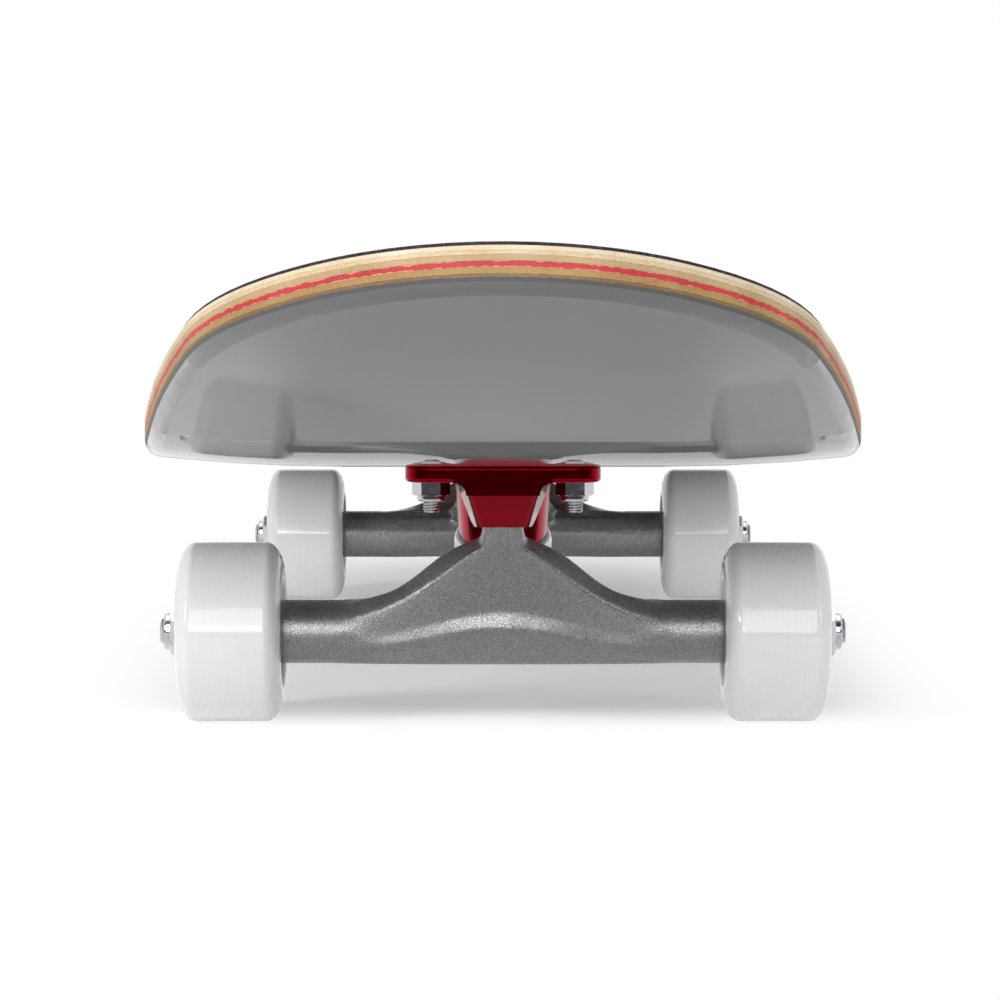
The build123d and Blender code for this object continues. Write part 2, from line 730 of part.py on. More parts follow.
with BuildPart() as axle_nuts:
    with Locations(*nut_planes):
        add(lock_nut(axle_nut_hex, axle_radius, axle_nut_height))

with BuildPart() as axle_nut_inserts:
    with Locations(*nut_planes):
        add(nut_insert(axle_radius, axle_nut_height))

with BuildPart() as speed_washers:
    for side in both_sides:
        for inner_face in (hanger_width / 2, axle_nut_seat - speed_washer_thickness):
            with BuildSketch(Plane.YZ.offset(side * inner_face)):
                Circle(speed_washer_radius)
                Circle(axle_radius + seat_clearance, mode=Mode.SUBTRACT)
            extrude(amount=side * speed_washer_thickness)

with BuildPart() as spacer:
    with BuildSketch(Plane.YZ):
        Circle(spacer_radius)
        Circle(axle_radius + seat_clearance, mode=Mode.SUBTRACT)
    extrude(amount=bearing_spacer_length / 2, both=True)

with BuildPart() as bearing_spacers:
    with Locations(*wheel_spots):
        add(spacer.part)

with BuildPart() as bearing_inner_rings:
    with Locations(*wheel_spots):
        add(inner_rings.part)

# ---------------------------------------------------------------- mounting bolts
head_depth = (bolt_head_radius - bolt_radius) / tan(radians(bolt_head_angle / 2))
with BuildPart() as bolt:
    # countersunk bolt hanging from the XY plane
    with BuildSketch(Plane.XZ):
        with BuildLine():
            Polyline(
                (0, 0),
                (bolt_head_radius, 0),
                (bolt_radius, -head_depth),
                (bolt_radius, thread_chamfer - bolt_length),
                (bolt_radius - thread_chamfer, -bolt_length),
                (0, -bolt_length),
                close=True,
            )
        make_face()
    revolve(axis=Axis.Z)
    with BuildSketch():
        Rectangle(bolt_head_radius, bolt_slot_width)
        Rectangle(bolt_slot_width, bolt_head_radius)
    extrude(amount=-head_depth * 0.8, taper=8, mode=Mode.SUBTRACT)

with BuildPart() as deck_bolts:
    with Locations(*[(x, y, grip_top) for x, y in bolt_places]):
        add(bolt.part)

nut_places = [
    Plane(origin=(x, y, deck_bottom - plate_thickness), z_dir=(0, 0, -1)) for x, y in bolt_places
]
with BuildPart() as deck_bolt_nuts:
    with Locations(*nut_places):
        add(lock_nut(bolt_nut_hex, bolt_radius, bolt_nut_height))

with BuildPart() as deck_bolt_nut_inserts:
    with Locations(*nut_places):
        add(nut_insert(bolt_radius, bolt_nut_height))

# ---------------------------------------------------------------- placing
# The rear truck is the front one turned round, so the two kingpins face each other.
trucks = {
    "front": Location((0, front_axle_y, axle_height)),
    "rear": Location((0, rear_axle_y, axle_height), (0, 0, 180)),
}
# Left and right are those of a rider who looks towards the nose.
sides = {"left": 1, "right": -1}

for name, piece in (
    ("deck_bolts", deck_bolts),
    ("deck_bolt_nuts", deck_bolt_nuts),
    ("deck_bolt_nut_inserts", deck_bolt_nut_inserts),
):
    save(piece.part, name)

for name, piece in (
    ("board_side_washers", board_washer),
    ("road_side_washers", road_washer),
    ("kingpin_nut_inserts", kingpin_nut_insert),
):
    with BuildPart() as pair:
        with Locations(*trucks.values()):
            add(piece.part)
    save(pair.part, name)

truck_pieces = {
    "baseplate": baseplate,
    "pivot_cup": pivot_cup,
    "kingpin": kingpin,
    "kingpin_nut": kingpin_nut,
    "board_side_bushing": board_bushing,
    "road_side_bushing": road_bushing,
    "hanger": hanger,
    "axle": axle,
    "axle_nuts": axle_nuts,
    "axle_nut_inserts": axle_nut_inserts,
    "speed_washers": speed_washers,
    "bearing_spacers": bearing_spacers,
    "bearing_inner_rings": bearing_inner_rings,
}
wheel_pieces = {
    "wheel": wheel,
    "bearing_outer_rings": outer_rings,
    "bearing_shields": shields,
    "bearing_balls": balls,
    "bearing_cages": cages,
}
for end, place in trucks.items():
    for name, piece in truck_pieces.items():
        with BuildPart() as placed:
            with Locations(place):
                add(piece.part)
        save(placed.part, f"{end}_{name}")
    for side_name, side in sides.items():
        wheel_place = Location((side * wheel_center, place.position.Y, axle_height))
        for name, piece in wheel_pieces.items():
            with BuildPart() as placed:
                with Locations(wheel_place):
                    add(piece.part)
            save(placed.part, f"{end}_{side_name}_{name}")
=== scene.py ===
import json
import math

import bmesh
import bpy
from mathutils import Matrix, Vector
from mathutils.bvhtree import BVHTree


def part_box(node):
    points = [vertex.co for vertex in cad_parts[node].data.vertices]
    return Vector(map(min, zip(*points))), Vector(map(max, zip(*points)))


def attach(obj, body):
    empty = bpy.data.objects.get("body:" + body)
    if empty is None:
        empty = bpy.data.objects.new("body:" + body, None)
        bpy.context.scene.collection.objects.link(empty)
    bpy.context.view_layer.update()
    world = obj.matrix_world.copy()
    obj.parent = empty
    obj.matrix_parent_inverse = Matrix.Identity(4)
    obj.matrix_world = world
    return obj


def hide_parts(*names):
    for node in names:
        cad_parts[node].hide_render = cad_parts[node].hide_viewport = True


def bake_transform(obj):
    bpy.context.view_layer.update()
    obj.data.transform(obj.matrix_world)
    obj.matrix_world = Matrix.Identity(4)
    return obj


# Street skateboard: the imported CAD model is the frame, and this script gives it its looks.
# Lengths are metres. The nose points to -Y, +X is the rider's left, +Z is up.

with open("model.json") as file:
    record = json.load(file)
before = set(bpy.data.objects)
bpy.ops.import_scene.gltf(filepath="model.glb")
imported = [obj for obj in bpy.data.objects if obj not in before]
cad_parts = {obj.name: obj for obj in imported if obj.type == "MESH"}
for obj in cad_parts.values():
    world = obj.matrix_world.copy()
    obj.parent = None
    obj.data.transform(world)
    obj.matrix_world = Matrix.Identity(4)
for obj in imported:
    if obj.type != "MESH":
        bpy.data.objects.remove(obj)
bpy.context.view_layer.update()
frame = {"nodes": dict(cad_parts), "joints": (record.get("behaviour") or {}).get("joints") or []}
nodes = frame["nodes"]
joints = {joint["name"]: joint for joint in frame["joints"]}
mm = 0.001
ends = {"front": -1, "rear": 1}
sides = {"left": 1, "right": -1}
print("frame loaded:", len(nodes), "nodes")


def toLinear(hexColour):
    # sRGB hex to the linear values that the shaders work in
    channels = [int(hexColour[place:place + 2], 16) / 255 for place in (1, 3, 5)]
    return [c / 12.92 if c < 0.0405 else ((c + 0.055) / 1.055) ** 2.4 for c in channels] + [1]


def addNode(tree, kind, settings=None, links=None):
    # small letters are the node's own settings, capitals and numbers are its sockets
    node = tree.nodes.new("ShaderNode" + kind)
    for name, value in (settings or {}).items():
        if isinstance(name, str) and name[0].islower():
            setattr(node, name, value)
        else:
            node.inputs[name].default_value = value
    for name, source in (links or {}).items():
        tree.links.new(source, node.inputs[name])
    return node


cameraSettings = {
    "place": (0, -1.258, 0.1306),
    "downTilt": 3.51,
    "lens": 129.1,
    "shift": -0.003,
}
camera = bpy.data.objects.new("camera", bpy.data.cameras.new("camera"))
bpy.context.scene.collection.objects.link(camera)
camera.location = cameraSettings["place"]
camera.rotation_euler = (math.radians(90 - cameraSettings["downTilt"]), 0, 0)
camera.data.lens = cameraSettings["lens"]
camera.data.sensor_width = 36
camera.data.shift_x = cameraSettings["shift"]
camera.data.clip_start = 0.01
bpy.context.scene.camera = camera
bpy.context.scene.view_settings.view_transform = "Standard"

# soft boxes over and behind the camera and over the board, a key from the left, a weaker one
# from the right
softBoxes = {
    "frontBox": {
        "place": (-0.1, -1.75, 0.56), "aim": (0, -0.2, 0.05), "size": (0.9, 0.85), "power": 9},
    "keyBox": {
        "place": (-1.15, -1.1, 0.69), "aim": (0, -0.2, 0.04), "size": (0.35, 0.6), "power": 9.5},
    "rightBox": {
        "place": (1.15, -1.1, 0.69), "aim": (0, -0.2, 0.04), "size": (0.25, 0.6), "power": 3},
    "topBox": {"place": (0, 0.2, 1.7), "aim": (0, 0, 0), "size": (1.6, 1.6), "power": 7},
    "highBox": {
        "place": (-0.15, -1.1, 0.95), "aim": (0, -0.2, 0.03), "size": (0.5, 0.3), "power": 1.4},
    "lowBox": {
        "place": (-0.2, -1.9, 0.31), "aim": (0, 0.2, 0.03), "size": (0.6, 0.16), "power": 2.2},
}
for name, box in softBoxes.items():
    lamp = bpy.data.lights.new(name, "AREA")
    lamp.shape = "RECTANGLE"
    lamp.size, lamp.size_y = box["size"]
    lamp.energy = box["power"]
    holder = bpy.data.objects.new(name, lamp)
    bpy.context.scene.collection.objects.link(holder)
    holder.location = box["place"]
    direction = Vector(box["aim"]) - Vector(box["place"])
    holder.rotation_euler = direction.to_track_quat("-Z", "Y").to_euler()

# white world behind the object and in its metal, darker on the camera's side
worldSettings = {"ambient": 0.4, "darkSide": 0.08, "fadeFrom": -0.6, "fadeTo": 0.1}
world = bpy.data.worlds.new("studio")
bpy.context.scene.world = world
world.use_nodes = True
tree = world.node_tree
tree.nodes.clear()
rays = addNode(tree, "LightPath")
direction = addNode(tree, "TexCoord")
split = addNode(tree, "SeparateXYZ", links={"Vector": direction.outputs["Generated"]})
fade = addNode(tree, "MapRange", {
    "interpolation_type": "SMOOTHSTEP", "From Min": worldSettings["fadeFrom"],
    "From Max": worldSettings["fadeTo"], "To Min": worldSettings["darkSide"], "To Max": 1.0,
}, {"Value": split.outputs["Y"]})
mirrored = addNode(tree, "Math", {"operation": "MAXIMUM"}, {
    0: rays.outputs["Is Glossy Ray"], 1: rays.outputs["Is Transmission Ray"]})
level = addNode(tree, "Mix", {"data_type": "FLOAT", 2: worldSettings["ambient"]}, {
    0: mirrored.outputs[0], 3: fade.outputs["Result"]})
seen = addNode(tree, "Mix", {"data_type": "FLOAT", 3: 1.0}, {
    0: rays.outputs["Is Camera Ray"], 2: level.outputs[0]})
background = addNode(tree, "Background", {"Color": (1, 1, 1, 1)}, {"Strength": seen.outputs[0]})
addNode(tree, "OutputWorld", links={"Surface": background.outputs[0]})

# pale floor, faintly glowing and most under the board, with the shadow kept near the board and
# plain white beyond it
floorSettings = {
    "radius": 0.8,
    "colour": "#f2f2f2",
    "glowEnds": 0.12,     # towards the object, past the ends of the board
    "glowUnder": 0.55,    # towards the object, under the middle of the board
    "glowSeen": 0.3,      # towards the camera
    "glowMiddle": -0.005,
    "glowFull": 0.14,     # half the length with the full glow
    "glowEnd": 0.24,
    "shadowMiddle": (0, 0.13, 0),
    "shadowReach": (0.09, 0.295, 0),
    "fade": 0.06,
    "segments": 96,
}
bm = bmesh.new()
bmesh.ops.create_circle(
    bm, cap_ends=True, segments=floorSettings["segments"], radius=floorSettings["radius"])
floorMesh = bpy.data.meshes.new("floor")
bm.to_mesh(floorMesh)
bm.free()
floor = bpy.data.objects.new("floor", floorMesh)
bpy.context.scene.collection.objects.link(floor)
floorPaper = bpy.data.materials.new("studioPaper")
floorPaper.use_nodes = True
tree = floorPaper.node_tree
paper = tree.nodes["Principled BSDF"]
paper.inputs["Base Color"].default_value = toLinear(floorSettings["colour"])
paper.inputs["Roughness"].default_value = 0.9
paper.inputs["Specular IOR Level"].default_value = 0.0
coordinates = addNode(tree, "TexCoord")
fromMiddle = addNode(tree, "VectorMath", {
    "operation": "SUBTRACT", 1: floorSettings["shadowMiddle"]}, {
    0: coordinates.outputs["Object"]})
mirrorCopy = addNode(tree, "VectorMath", {"operation": "ABSOLUTE"}, {0: fromMiddle.outputs[0]})
outside = addNode(tree, "VectorMath", {"operation": "SUBTRACT", 1: floorSettings["shadowReach"]}, {
    0: mirrorCopy.outputs[0]})
beyond = addNode(tree, "VectorMath", {"operation": "MAXIMUM", 1: (0, 0, 0)}, {
    0: outside.outputs[0]})
distance = addNode(tree, "VectorMath", {"operation": "LENGTH"}, {0: beyond.outputs[0]})
away = addNode(tree, "MapRange", {
    "interpolation_type": "SMOOTHSTEP", "From Max": floorSettings["fade"]}, {
    "Value": distance.outputs["Value"]})
rays = addNode(tree, "LightPath")
along = addNode(tree, "SeparateXYZ", links={"Vector": coordinates.outputs["Object"]})
fromCentre = addNode(tree, "Math", {"operation": "SUBTRACT", 1: floorSettings["glowMiddle"]}, {
    0: along.outputs["Y"]})
apart = addNode(tree, "Math", {"operation": "ABSOLUTE"}, {0: fromCentre.outputs[0]})
under = addNode(tree, "MapRange", {
    "interpolation_type": "SMOOTHSTEP",
    "From Min": floorSettings["glowEnd"], "From Max": floorSettings["glowFull"],
    "To Min": floorSettings["glowEnds"], "To Max": floorSettings["glowUnder"]}, {
    "Value": apart.outputs[0]})
seenGlow = addNode(tree, "Mix", {"data_type": "FLOAT", 3: floorSettings["glowSeen"]}, {
    0: rays.outputs["Is Camera Ray"], 2: under.outputs["Result"]})
glow = addNode(tree, "Emission", {"Color": (1, 1, 1, 1)}, {"Strength": seenGlow.outputs[0]})
lifted = addNode(tree, "AddShader", links={0: paper.outputs[0], 1: glow.outputs[0]})
white = addNode(tree, "Emission", {"Color": (1, 1, 1, 1), "Strength": 1.0})
fadeSeen = addNode(tree, "Math", {"operation": "MULTIPLY"}, {
    0: away.outputs["Result"], 1: rays.outputs["Is Camera Ray"]})
floorMix = addNode(tree, "MixShader", links={
    0: fadeSeen.outputs[0], 1: lifted.outputs[0], 2: white.outputs[0]})
tree.links.new(floorMix.outputs[0], tree.nodes["Material Output"].inputs["Surface"])
floor.data.materials.append(floorPaper)
print("camera, lights and floor ready")

materials = {}


def startMaterial(name, settings):
    # the shader with its uniform values set on its own sockets, and the object's coordinates
    material = bpy.data.materials.new(name)
    material.use_nodes = True
    tree = material.node_tree
    shader = tree.nodes["Principled BSDF"]
    for socket, value in settings.items():
        shader.inputs[socket].default_value = toLinear(value) if isinstance(value, str) else value
    materials[name] = material
    return tree, shader, addNode(tree, "TexCoord").outputs["Object"]


# Grip tape: silicon carbide grit glued to a black film. The eye gets a dull black sheet full of
# fine sparkling specks. The grains are drawn about twice as coarse as real ones, to show.
gripSettings = {
    "film": "#101011",
    "grit": "#3f3f42",
    "grainSize": 0.45 * mm,
    "height": 0.12 * mm,
    "filmEnds": 0.35,
    "gritStarts": 0.95,
    "patch": 35 * mm,
    "wear": 0.35,
}
tree, shader, place = startMaterial("siliconCarbideGrip", {"Roughness": 0.82, "IOR": 1.55})
grains = addNode(tree, "TexVoronoi", {"Scale": 1 / gripSettings["grainSize"]}, {"Vector": place})
patches = addNode(tree, "TexNoise", {"Scale": 1 / gripSettings["patch"], "Detail": 4}, {
    "Vector": place})
grainTone = addNode(tree, "SeparateColor", links={0: grains.outputs["Color"]})
tone = addNode(tree, "ValToRGB", links={0: grainTone.outputs[0]})
tone.color_ramp.elements[0].position = gripSettings["filmEnds"]
tone.color_ramp.elements[0].color = toLinear(gripSettings["film"])
tone.color_ramp.elements[1].position = gripSettings["gritStarts"]
tone.color_ramp.elements[1].color = toLinear(gripSettings["grit"])
worn = addNode(tree, "Mix", {
    "data_type": "RGBA", "blend_type": "MULTIPLY", 0: gripSettings["wear"]}, {
    6: tone.outputs[0], 7: patches.outputs["Color"]})
tree.links.new(worn.outputs[2], shader.inputs["Base Color"])
gritBump = addNode(tree, "Bump", {"Strength": 0.9, "Distance": gripSettings["height"]}, {
    "Height": grains.outputs["Distance"]})
tree.links.new(gritBump.outputs[0], shader.inputs["Normal"])

# Each veneer's vertices know how deep they lie below its upper face, from 0 to 1, for what
# happens at its two glue lines.
layers = ["grip_tape", "ply_1_top", "ply_2_cross", "ply_3", "ply_4_red", "ply_5", "ply_6_cross"]
for above, node in zip(layers, layers[1:]):
    upper = bmesh.new()
    upper.from_mesh(nodes[above].data)
    upperTree = BVHTree.FromBMesh(upper)
    upper.free()
    mesh = nodes[node].data
    distances = [upperTree.find_nearest(vert.co)[3] for vert in mesh.vertices]
    depth = mesh.attributes.new("depth", "FLOAT", "POINT")
    depth.data.foreach_set("value", [min(distance / max(distances), 1) for distance in distances])

# Maple veneer, seen on its sanded edge: long fibres in fine streaks, and open pores where the
# fibres end. Cross plies run the other way, so at the nose they show their long side. A streak
# is a bundle of fibres, drawn coarser than a single one.
plies = {
    "ply_1_top": {"light": "#e9dac4", "dark": "#c2a682", "cross": False, "name": "mapleTop"},
    "ply_2_cross": {"light": "#d8c8ac", "dark": "#b8986c", "cross": True, "name": "mapleCrossPale"},
    "ply_3": {"light": "#c2aa84", "dark": "#9c7a4b", "cross": False, "name": "mapleTan"},
    "ply_4_red": {"light": "#cc4048", "dark": "#960a18", "cross": False, "name": "mapleDyedRed"},
    "ply_5": {"light": "#b09260", "dark": "#8a6029", "cross": False, "name": "mapleOchre"},
    "ply_6_cross": {
        "light": "#8a6e49", "dark": "#664626", "cross": True, "name": "mapleCrossBrown"},
}
veneerSettings = {
    "fibreWidth": 0.3 * mm,
    "fibreLength": 14 * mm,
    "cloud": 16 * mm,
    "cloudShare": 0.55,
    "darkEnds": 0.52,
    "lightStarts": 0.98,
    "height": 0.06 * mm,
    "glueLine": 0.1,       # shares of the veneer's thickness
    "glueCore": 0.02,
    "glueWander": 0.25,
    "glueShade": 0.62,
    "ragged": 2.2 * mm,
    "splinterStart": 0.1,
    "splinterFull": 0.04,
    "splinterWander": 0.9,
    "splinterShare": 0.85,
    "splinter": "#cfa36a",
    "paintStart": 0.42,
    "paintEdge": 0.04,
    "paintWander": 0.35,
}
# the lacquer's greys are darker than the real light grey paint: painted shade of the board's
# underside
lacquerSettings = {
    "shadedGrey": "#4e4e4e",
    "shade": "#474747",
    "cloud": 60 * mm,
    "peel": 0.8 * mm,
    "height": 0.012 * mm,
}
for node, ply in plies.items():
    tree, shader, place = startMaterial(ply["name"], {"Roughness": 0.55, "IOR": 1.5})
    thin = 1 / veneerSettings["fibreWidth"]
    long = 1 / veneerSettings["fibreLength"]
    stretch = (long, thin, thin) if ply["cross"] else (thin, long, thin)
    fibrePlace = addNode(tree, "Mapping", {"Scale": stretch}, {"Vector": place})
    fibres = addNode(tree, "TexNoise", {"Scale": 1.0, "Detail": 5, "Roughness": 0.6}, {
        "Vector": fibrePlace.outputs[0]})
    clouds = addNode(tree, "TexNoise", {"Scale": 1 / veneerSettings["cloud"], "Detail": 3}, {
        "Vector": place})
    blendTone = addNode(tree, "Math", {
        "operation": "MULTIPLY_ADD", 1: veneerSettings["cloudShare"]}, {
        0: clouds.outputs["Fac"], 2: fibres.outputs["Fac"]})
    tone = addNode(tree, "ValToRGB", links={0: blendTone.outputs[0]})
    tone.color_ramp.elements[0].position = veneerSettings["darkEnds"]
    tone.color_ramp.elements[0].color = toLinear(ply["dark"])
    tone.color_ramp.elements[1].position = veneerSettings["lightStarts"]
    tone.color_ramp.elements[1].color = toLinear(ply["light"])
    # thin dark glue lines at both faces, a little uneven
    deep = addNode(tree, "Attribute", {"attribute_name": "depth"})
    wander = addNode(tree, "TexNoise", {"Scale": 1 / veneerSettings["ragged"], "Detail": 4}, {
        "Vector": place})
    uneven = addNode(tree, "Math", {"operation": "SUBTRACT", 1: 0.5}, {0: wander.outputs["Fac"]})
    inside = addNode(tree, "Math", {"operation": "PINGPONG", 1: 0.5}, {0: deep.outputs["Fac"]})
    margin = addNode(tree, "Math", {
        "operation": "MULTIPLY_ADD", 1: veneerSettings["glueWander"]}, {
        0: uneven.outputs[0], 2: inside.outputs[0]})
    glue = addNode(tree, "MapRange", {
        "From Min": veneerSettings["glueLine"], "From Max": veneerSettings["glueCore"],
        "To Min": 1.0, "To Max": veneerSettings["glueShade"]}, {"Value": margin.outputs[0]})
    lined = addNode(tree, "VectorMath", {"operation": "MULTIPLY"}, {
        0: tone.outputs[0], 1: glue.outputs["Result"]})
    colour = lined.outputs[0]
    if node == "ply_4_red":
        # splinters of the pale plies beside it cut into the dyed one
        splinter = addNode(tree, "Math", {
            "operation": "MULTIPLY_ADD", 1: veneerSettings["splinterWander"]}, {
            0: uneven.outputs[0], 2: inside.outputs[0]})
        pale = addNode(tree, "MapRange", {
            "From Min": veneerSettings["splinterStart"],
            "From Max": veneerSettings["splinterFull"],
            "To Max": veneerSettings["splinterShare"]}, {
            "Value": splinter.outputs[0]})
        mixed = addNode(tree, "Mix", {
            "data_type": "RGBA", 7: toLinear(veneerSettings["splinter"])}, {
            0: pale.outputs["Result"], 6: colour})
        colour = mixed.outputs[2]
    if node == "ply_6_cross":
        # the grey paint laps up over the rounded edge and ends a little above it; its grey carries
        # the same painted shade as the bottom ply
        reach = addNode(tree, "Math", {
            "operation": "MULTIPLY_ADD", 1: veneerSettings["paintWander"]}, {
            0: uneven.outputs[0], 2: deep.outputs["Fac"]})
        painted = addNode(tree, "MapRange", {
            "From Min": veneerSettings["paintStart"] - veneerSettings["paintEdge"],
            "From Max": veneerSettings["paintStart"] + veneerSettings["paintEdge"]}, {
            "Value": reach.outputs[0]})
        mixed = addNode(tree, "Mix", {
            "data_type": "RGBA", 7: toLinear(lacquerSettings["shadedGrey"])}, {
            0: painted.outputs["Result"], 6: colour})
        colour = mixed.outputs[2]
    tree.links.new(colour, shader.inputs["Base Color"])
    fibreBump = addNode(tree, "Bump", {"Strength": 0.5, "Distance": veneerSettings["height"]}, {
        "Height": fibres.outputs["Fac"]})
    tree.links.new(fibreBump.outputs[0], shader.inputs["Normal"])
    nodes[node].data.materials.clear()
    nodes[node].data.materials.append(materials[ply["name"]])

# Sprayed grey paint under a clear gloss lacquer: a deep mirror with a faint orange peel over an
# even, slightly cloudy grey. Both greys are drawn far darker than the paint's own light grey:
# painted shade, standing in for the shade under the board.
tree, shader, place = startMaterial("lacqueredGreyPaint", {
    "Roughness": 0.42, "IOR": 1.5, "Coat Weight": 1.0, "Coat Roughness": 0.02, "Coat IOR": 1.65})
clouds = addNode(tree, "TexNoise", {"Scale": 1 / lacquerSettings["cloud"], "Detail": 3}, {
    "Vector": place})
paint = addNode(tree, "Mix", {
    "data_type": "RGBA", 6: toLinear(lacquerSettings["shade"]),
    7: toLinear(lacquerSettings["shadedGrey"])}, {
    0: clouds.outputs["Fac"]})
tree.links.new(paint.outputs[2], shader.inputs["Base Color"])
peel = addNode(tree, "TexNoise", {"Scale": 1 / lacquerSettings["peel"], "Detail": 1.5}, {
    "Vector": place})
peelBump = addNode(tree, "Bump", {"Strength": 0.6, "Distance": lacquerSettings["height"]}, {
    "Height": peel.outputs["Fac"]})
tree.links.new(peelBump.outputs[0], shader.inputs["Coat Normal"])
tree.links.new(peelBump.outputs[0], shader.inputs["Normal"])

# Deep red anodised aluminium, polished before its bath: a clear red metal with soft reflections.
anodisedSettings = {"red": "#96001a", "deep": "#7c0012", "cloud": 14 * mm, "grain": 0.9 * mm}
tree, shader, place = startMaterial("redAnodisedAluminium", {"Metallic": 1.0, "Roughness": 0.1})
tint = addNode(tree, "TexNoise", {"Scale": 1 / anodisedSettings["cloud"], "Detail": 3}, {
    "Vector": place})
red = addNode(tree, "Mix", {
    "data_type": "RGBA", 6: toLinear(anodisedSettings["deep"]),
    7: toLinear(anodisedSettings["red"])}, {
    0: tint.outputs["Fac"]})
tree.links.new(red.outputs[2], shader.inputs["Base Color"])
grain = addNode(tree, "TexNoise", {"Scale": 1 / anodisedSettings["grain"], "Detail": 2}, {
    "Vector": place})
grainBump = addNode(tree, "Bump", {"Strength": 0.08, "Distance": 0.02 * mm}, {
    "Height": grain.outputs["Fac"]})
tree.links.new(grainBump.outputs[0], shader.inputs["Normal"])

# Sand-cast aluminium, shot-blasted: dark silver with a fine sparkling skin. The blasted skin
# also scatters light like a dull coat, so it isn't wholly metallic.
castSettings = {
    "light": "#a4a4a4",
    "dark": "#6e6e6e",
    "darkEnds": 0.38,
    "lightStarts": 0.66,
    "grain": 0.32 * mm,
    "skin": 2.4 * mm,
    "gloss": (0.2, 0.3),
}
tree, shader, place = startMaterial("blastedCastAluminium", {"Metallic": 0.75})
grain = addNode(tree, "TexNoise", {
    "Scale": 1 / castSettings["grain"], "Detail": 2, "Roughness": 0.6}, {"Vector": place})
skin = addNode(tree, "TexNoise", {"Scale": 1 / castSettings["skin"], "Detail": 3}, {
    "Vector": place})
sparkle = addNode(tree, "ValToRGB", links={0: grain.outputs["Fac"]})
sparkle.color_ramp.elements[0].position = castSettings["darkEnds"]
sparkle.color_ramp.elements[0].color = toLinear(castSettings["dark"])
sparkle.color_ramp.elements[1].position = castSettings["lightStarts"]
sparkle.color_ramp.elements[1].color = toLinear(castSettings["light"])
tree.links.new(sparkle.outputs[0], shader.inputs["Base Color"])
dull = addNode(tree, "MapRange", {
    "From Min": 0.3, "From Max": 0.7,
    "To Min": castSettings["gloss"][0], "To Max": castSettings["gloss"][1]}, {
    "Value": skin.outputs["Fac"]})
tree.links.new(dull.outputs["Result"], shader.inputs["Roughness"])
skinBump = addNode(tree, "Bump", {"Strength": 0.25, "Distance": 0.12 * mm}, {
    "Height": skin.outputs["Fac"]})
castBump = addNode(tree, "Bump", {"Strength": 1.0, "Distance": 0.08 * mm}, {
    "Height": grain.outputs["Fac"], "Normal": skinBump.outputs[0]})
tree.links.new(castBump.outputs[0], shader.inputs["Normal"])

# Chrome plate on steel: a bright mirror with the faintest ripple and a few dull spots.
chromeSettings = {"colour": "#c4c4c8", "spot": 1.6 * mm, "gloss": (0.03, 0.12)}
tree, shader, place = startMaterial("chromePlate", {
    "Metallic": 1.0, "Base Color": chromeSettings["colour"]})
spots = addNode(tree, "TexNoise", {"Scale": 1 / chromeSettings["spot"], "Detail": 4}, {
    "Vector": place})
gloss = addNode(tree, "MapRange", {
    "From Min": 0.3, "From Max": 0.75,
    "To Min": chromeSettings["gloss"][0], "To Max": chromeSettings["gloss"][1]}, {
    "Value": spots.outputs["Fac"]})
tree.links.new(gloss.outputs["Result"], shader.inputs["Roughness"])
ripple = addNode(tree, "Bump", {"Strength": 0.06, "Distance": 0.05 * mm}, {
    "Height": spots.outputs["Fac"]})
tree.links.new(ripple.outputs[0], shader.inputs["Normal"])

# Plain steels: zinc plate on turned steel, duller than chrome and bluish, with turning marks;
# ground bearing steel, bright, with rings left by the grinding wheel; and the bearing's shield,
# pressed from thin rolled steel, a touch duller than its rings.
steels = {
    "zincPlatedSteel": {
        "marks": 0.8 * mm, "detail": 5, "coarse": 0.7, "dark": "#a9abae", "light": "#c9cbce",
        "gloss": (0.2, 0.38)},
    "groundBearingSteel": {
        "marks": 0.5 * mm, "detail": 4, "coarse": 0.5, "dark": "#b4b5b7", "light": "#d4d5d7",
        "gloss": (0.12, 0.28)},
    "pressedSteelShield": {
        "marks": 0.9 * mm, "detail": 4, "coarse": 0.5, "dark": "#9b9c9f", "light": "#bdbec0",
        "gloss": (0.24, 0.42)},
}
for name, steel in steels.items():
    tree, shader, place = startMaterial(name, {"Metallic": 1.0})
    marks = addNode(tree, "TexNoise", {
        "Scale": 1 / steel["marks"], "Detail": steel["detail"], "Roughness": steel["coarse"]}, {
        "Vector": place})
    plated = addNode(tree, "Mix", {
        "data_type": "RGBA", 6: toLinear(steel["dark"]), 7: toLinear(steel["light"])}, {
        0: marks.outputs["Fac"]})
    tree.links.new(plated.outputs[2], shader.inputs["Base Color"])
    gloss = addNode(tree, "MapRange", {"To Min": steel["gloss"][0], "To Max": steel["gloss"][1]}, {
        "Value": marks.outputs["Fac"]})
    tree.links.new(gloss.outputs["Result"], shader.inputs["Roughness"])

# Cast urethane turned on a lathe: milky white, slightly waxy, with fine rings round the tread.
# The rings are drawn about three times as coarse as real ones, to show.
wheelSettings = {
    "white": "#dcdcdc",
    "shade": "#d4d4d4",
    "cloud": 12 * mm,
    "ring": 0.85 * mm,
    "height": 0.03 * mm,
    "patchesPerRing": 0.4,
    "gloss": (0.3, 0.07),   # between the cuts and in them
}
tree, shader, place = startMaterial("whiteUrethane", {
    "IOR": 1.56, "Subsurface Weight": 0.12, "Subsurface Scale": 0.003})
